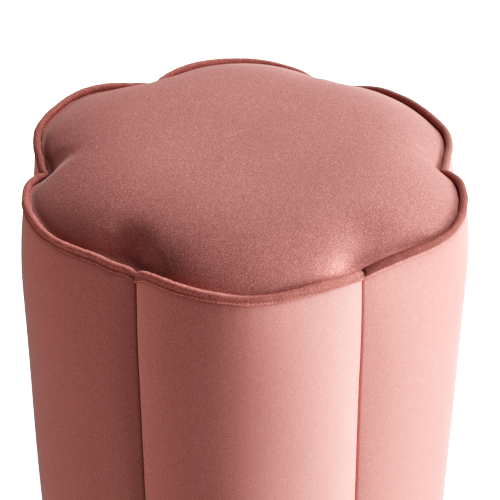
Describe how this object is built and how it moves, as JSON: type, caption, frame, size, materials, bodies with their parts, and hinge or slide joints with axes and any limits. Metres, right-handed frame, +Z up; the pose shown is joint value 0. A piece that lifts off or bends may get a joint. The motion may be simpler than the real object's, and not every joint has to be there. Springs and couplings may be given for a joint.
{
  "type": "pouf",
  "caption": "Low round stool with a lobed, flower-like outline: velvet side panels, a crowned velvet seat edged with a welt, on a boarded wooden frame with small glides.",
  "frame": {"origin": "centre of the footprint on the floor, on the underside of the glides", "axes": "+Z up through the middle of the seat; one lobe faces -Y, which is the side towards the viewer in the picture"},
  "size_m": [0.3984, 0.4186, 0.4502],
  "materials": {
    "velvet": "cut-pile velvet, dusty pink",
    "welt_velvet": "cut-pile velvet on the bias",
    "cotton_cord": "twisted cotton cord",
    "foam": "open-cell upholstery foam",
    "wadding": "polyester fibre wadding",
    "plywood": "raw plywood",
    "pine": "planed softwood",
    "bent_board": "thin bent board",
    "dust_cloth": "black non-woven sheet",
    "glide_plastic": "moulded black plastic",
    "zinc_steel": "zinc-plated steel"
  },
  "bodies": {
    "root": {"base_board": "plywood", "seat_board": "plywood", "base_board_screws": "zinc_steel", "seat_board_screws": "zinc_steel", "base_staples": "zinc_steel", "glide_screws": "zinc_steel", "seat_foam": "foam", "seat_wadding": "wadding", "seat_cover": "velvet", "welt_cover": "welt_velvet", "welt_cord": "cotton_cord", "dust_cover": "dust_cloth", "post_1": "pine", "side_shell_1": "bent_board", "side_foam_1": "foam", "side_cover_1": "velvet", "glide_1": "glide_plastic", "post_2": "pine", "side_shell_2": "bent_board", "side_foam_2": "foam", "side_cover_2": "velvet", "glide_2": "glide_plastic", "post_3": "pine", "side_shell_3": "bent_board", "side_foam_3": "foam", "side_cover_3": "velvet", "glide_3": "glide_plastic", "post_4": "pine", "side_shell_4": "bent_board", "side_foam_4": "foam", "side_cover_4": "velvet", "glide_4": "glide_plastic", "post_5": "pine", "side_shell_5": "bent_board", "side_foam_5": "foam", "side_cover_5": "velvet", "glide_5": "glide_plastic", "post_6": "pine", "side_shell_6": "bent_board", "side_foam_6": "foam", "side_cover_6": "velvet", "glide_6": "glide_plastic"}
  },
  "joints": []
}
